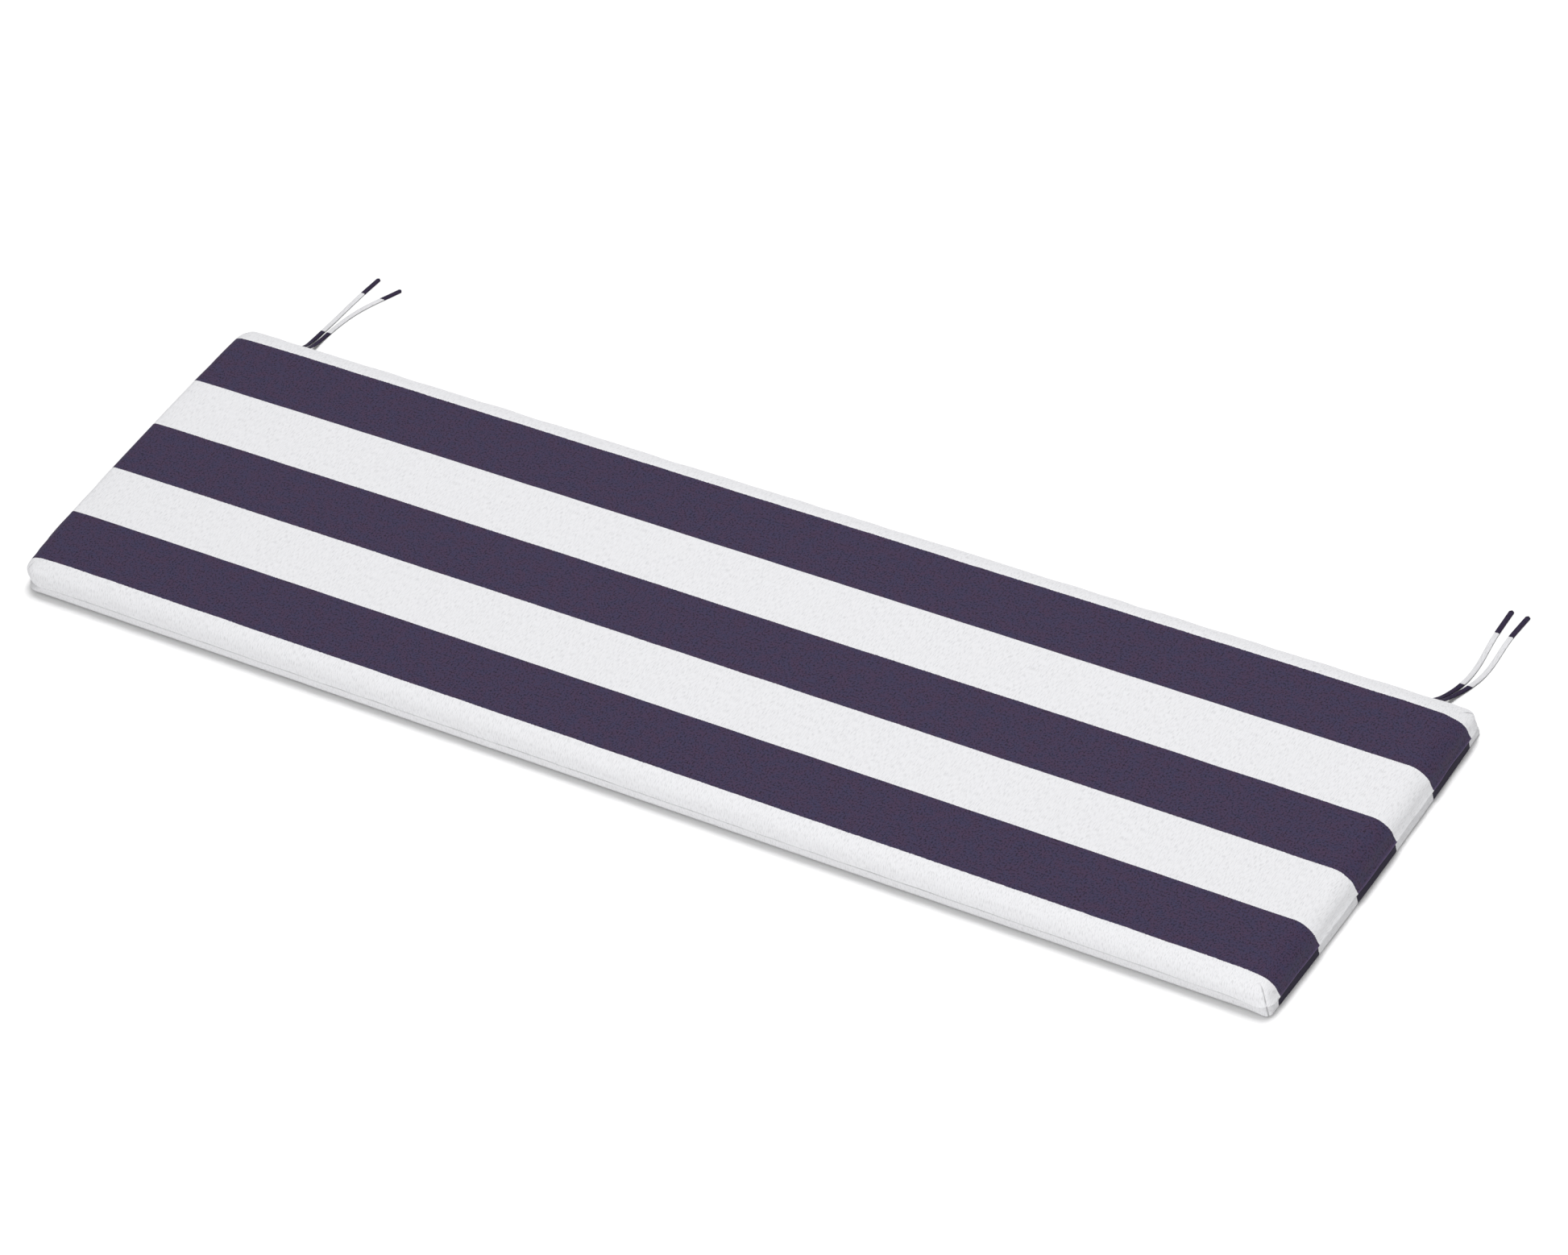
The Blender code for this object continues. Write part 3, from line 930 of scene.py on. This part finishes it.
def wall_places(rows, seam_row, last_wall):
    """Places in the flat cloth for both readings of a wall: as part of a long side and of an end."""
    steps = np.linalg.norm(np.diff(rows, axis=0), axis=2)
    run = np.zeros(rows.shape[:2])
    for row in range(1, seam_row + 1):
        run[row] = run[row - 1] + steps[row - 1]
    for row in range(last_wall - 1, seam_row, -1):
        run[row] = run[row + 1] + steps[row]
    rim = np.empty(rows.shape)
    rim[:seam_row + 1] = rows[0]
    rim[seam_row + 1:last_wall] = rows[last_wall]
    rim[last_wall:] = rows[last_wall:]
    on_long_side = np.stack((rows[:, :, 0], rim[:, :, 1] + np.sign(rim[:, :, 1]) * run), axis=2)
    on_end = np.stack((rim[:, :, 0] + np.sign(rim[:, :, 0]) * run, rows[:, :, 1]), axis=2)
    return on_long_side, on_end


def dressed_rings(rows, above, seam_row, last_wall):
    """The rings with the cloth's relief and puckers, none of them below the resting surface."""
    relief = cloth_relief(rows, above)
    relief[0] = 0.0
    relief += simulate_swelling(rows, seam_row, last_wall)
    moved = rows + ring_normals(rows) * relief[:, :, None]
    moved[:, :, 2] = np.maximum(moved[:, :, 2], 0.0)
    moved[0, :, 2] = 0.0
    return moved


def cover_measures(rows, above, seam_row, dart_line, top):
    """The numbers at each point for the cover's material, of the rings and then of the top grid."""
    across = rows[:, :, 1].copy()
    across[:seam_row] += LOWER_PANEL_SHIFT
    shade = painted_cloth_shade(rows, above, seam_row, dart_line)
    nothing = np.zeros(len(top))
    return {
        "across": np.concatenate((across.ravel(), top[:, 1])),
        "shade": np.concatenate((shade.ravel(), nothing)),
        "painted_highlight": np.concatenate((painted_edge_highlight(rows, above).ravel(), nothing)),
    }


def make_cover():
    lower = lower_panel_rings()
    stacked = np.array(lower + seam_rings() + upper_panel_rings())
    rows, dart_line = stacked[:, :, :3], stacked[:, :, 3]
    seam_row = len(lower) + SEAM_BOTTOM
    last_wall = len(rows) - 1 - INNER_RING_STEPS
    ring_count, ring_size = rows.shape[:2]
    above = distance_above(rows, seam_row)
    moved = dressed_rings(rows, above, seam_row, last_wall)
    top = top_grid()
    points = np.concatenate((moved.reshape(-1, 3), top))

    top_start = ring_count * ring_size
    walls = ring_quads(ring_count, ring_size)
    top_quads = grid_quads(top_start)
    others = border_faces(top_start - ring_size, ring_size, top_start)
    others.append(tuple(reversed(range(ring_size))))

    on_long_side, on_end = wall_places(rows, seam_row, last_wall)
    sectors = np.tile(ring_sectors(), ring_count - 1)[:, None, None]
    wall_uv = np.where(sectors, on_end.reshape(-1, 2)[walls], on_long_side.reshape(-1, 2)[walls])
    flat_corners = np.concatenate([top_quads.ravel(), *others])
    uv = np.concatenate((wall_uv.reshape(-1, 2), points[flat_corners, :2]))
    return new_piece(
        "cushion_cover", points.tolist(), walls.tolist() + top_quads.tolist() + others, uv,
        cover_measures(rows, above, seam_row, dart_line, top), cover_material())


# ---- the ties ----

def route_points(route):
    """The route in metres, lowered to a flat tape's middle line on the floor, its tip a bit longer."""
    lowering = (TIE_DIAMETER - TIE_THICKNESS) / 2
    points = []
    for x, y, z in route:
        place_y = TIE_START_Y if y is None else y / 1000
        settled = 1.0 - float(smooth_step(*TIE_SETTLES, z / 1000))
        points.append(Vector((x / 1000, place_y, z / 1000 - lowering * settled)))
    points[-1] += (points[-1] - points[-2]).normalized() * TIE_EXTRA_LENGTH
    return points


def curve_point(before, start, end, after, share):
    """A point between start and end on the smooth curve through all four."""
    bend = 2.0 * before - 5.0 * start + 4.0 * end - after
    twist = 3.0 * (start - end) + after - before
    return start + 0.5 * share * (end - before + share * (bend + share * twist))


def smooth_route(points, spacing):
    """Points an even distance apart on the smooth curve through the route's own points."""
    ends = [2 * points[0] - points[1]] + points + [2 * points[-1] - points[-2]]
    fine = [points[0]]
    for index in range(len(points) - 1):
        before, start, end, after = ends[index:index + 4]
        for step in range(1, ROUTE_FINENESS + 1):
            fine.append(curve_point(before, start, end, after, step / ROUTE_FINENESS))
    travelled = [0.0]
    for start, end in zip(fine, fine[1:]):
        travelled.append(travelled[-1] + (end - start).length)
    count = max(round(travelled[-1] / spacing), 2)
    even = []
    place = 0
    for step in range(count + 1):
        wanted = travelled[-1] * step / count
        while place < len(fine) - 2 and travelled[place + 1] < wanted:
            place += 1
        stretch = travelled[place + 1] - travelled[place]
        even.append(fine[place].lerp(fine[place + 1], (wanted - travelled[place]) / stretch))
    return even, travelled[-1]


def tape_section():
    """Half widths and heights round the folded tape's section, from -1 to 1 each way."""
    section = []
    for step in range(TIE_SECTION_POINTS):
        turn = math.tau * step / TIE_SECTION_POINTS
        section.append(tuple(
            math.copysign(abs(way) ** power, way)
            for way, power in zip((math.cos(turn), math.sin(turn)), TIE_SECTION_POWERS)))
    return section


def tape_width(travelled, to_tip):
    """The tape's share of its full width: narrower near the seam, rounded at the tip."""
    if to_tip < TIE_TIP_LENGTH:
        rounding = 1.0 - (1.0 - to_tip / TIE_TIP_LENGTH) ** 2
        return math.sqrt(max(rounding, TIE_TIP_WIDTH_SHARE_SQUARED))
    widened = float(smooth_step(*TIE_WIDENS, travelled))
    return TIE_WIDTH_SHARE_AT_SEAM + (1.0 - TIE_WIDTH_SHARE_AT_SEAM) * widened


def tape_rings(path, length, section):
    """The tape's points, their places in the flat cloth and how much darker they are.

    Its underside and its side towards +X are the darkest, by painted shade.
    """
    points = []
    places = []
    shade = []
    travelled = 0.0
    for index, point in enumerate(path):
        ahead = path[min(index + 1, len(path) - 1)] - path[max(index - 1, 0)]
        side = ahead.cross(Vector((0.0, 0.0, 1.0))).normalized()
        up = side.cross(ahead).normalized()
        if index:
            travelled += (point - path[index - 1]).length
        half_width = tape_width(travelled, length - travelled) * TIE_WIDTH / 2
        for across, rise in section:
            points.append(point + side * (across * half_width) + up * (rise * TIE_THICKNESS / 2))
            places.append((across * half_width + rise * TIE_THICKNESS / 4, travelled))
            shaded = rise < -0.3 or (across > 0.0 and rise < 0.3)
            shade.append(TIE_UNDERSIDE_SHADE if shaded else TIE_SHADE)
    return points, places, shade


def make_tie(name, route, material):
    path, length = smooth_route(route_points(route), TIE_RING_SPACING)
    section = tape_section()
    points, places, shade = tape_rings(path, length, section)
    faces = ring_quads(len(path), len(section)).tolist()
    faces.append(list(reversed(range(len(section)))))
    faces.append(list(range(len(points) - len(section), len(points))))
    uv = [places[corner] for face in faces for corner in face]
    measures = {"across": [point.y for point in points], "shade": shade, "painted_highlight": np.zeros(len(points))}
    tape = new_piece(name.replace("tie", "tape"), points, faces, uv, measures, material)
    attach(tape, "root")
    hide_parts(name)


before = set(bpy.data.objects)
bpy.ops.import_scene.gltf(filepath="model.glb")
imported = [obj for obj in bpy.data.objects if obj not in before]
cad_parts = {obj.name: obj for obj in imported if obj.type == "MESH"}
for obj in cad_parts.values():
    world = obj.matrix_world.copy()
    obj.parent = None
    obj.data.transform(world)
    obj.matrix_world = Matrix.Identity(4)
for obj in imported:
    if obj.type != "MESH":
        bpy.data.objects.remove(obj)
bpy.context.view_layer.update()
add_camera()
add_studio_light()
add_floor()
tie_cloths = {side: tie_material("tie_cloth_" + side, stretch)
              for side, stretch in TIE_WHITE_STRETCHES.items()}
for tie_name, tie_route in TIE_ROUTES.items():
    make_tie(tie_name, tie_route, tie_cloths[tie_name.split("_")[1]])
cover = make_cover()
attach(cover, "root")
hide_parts("cushion")
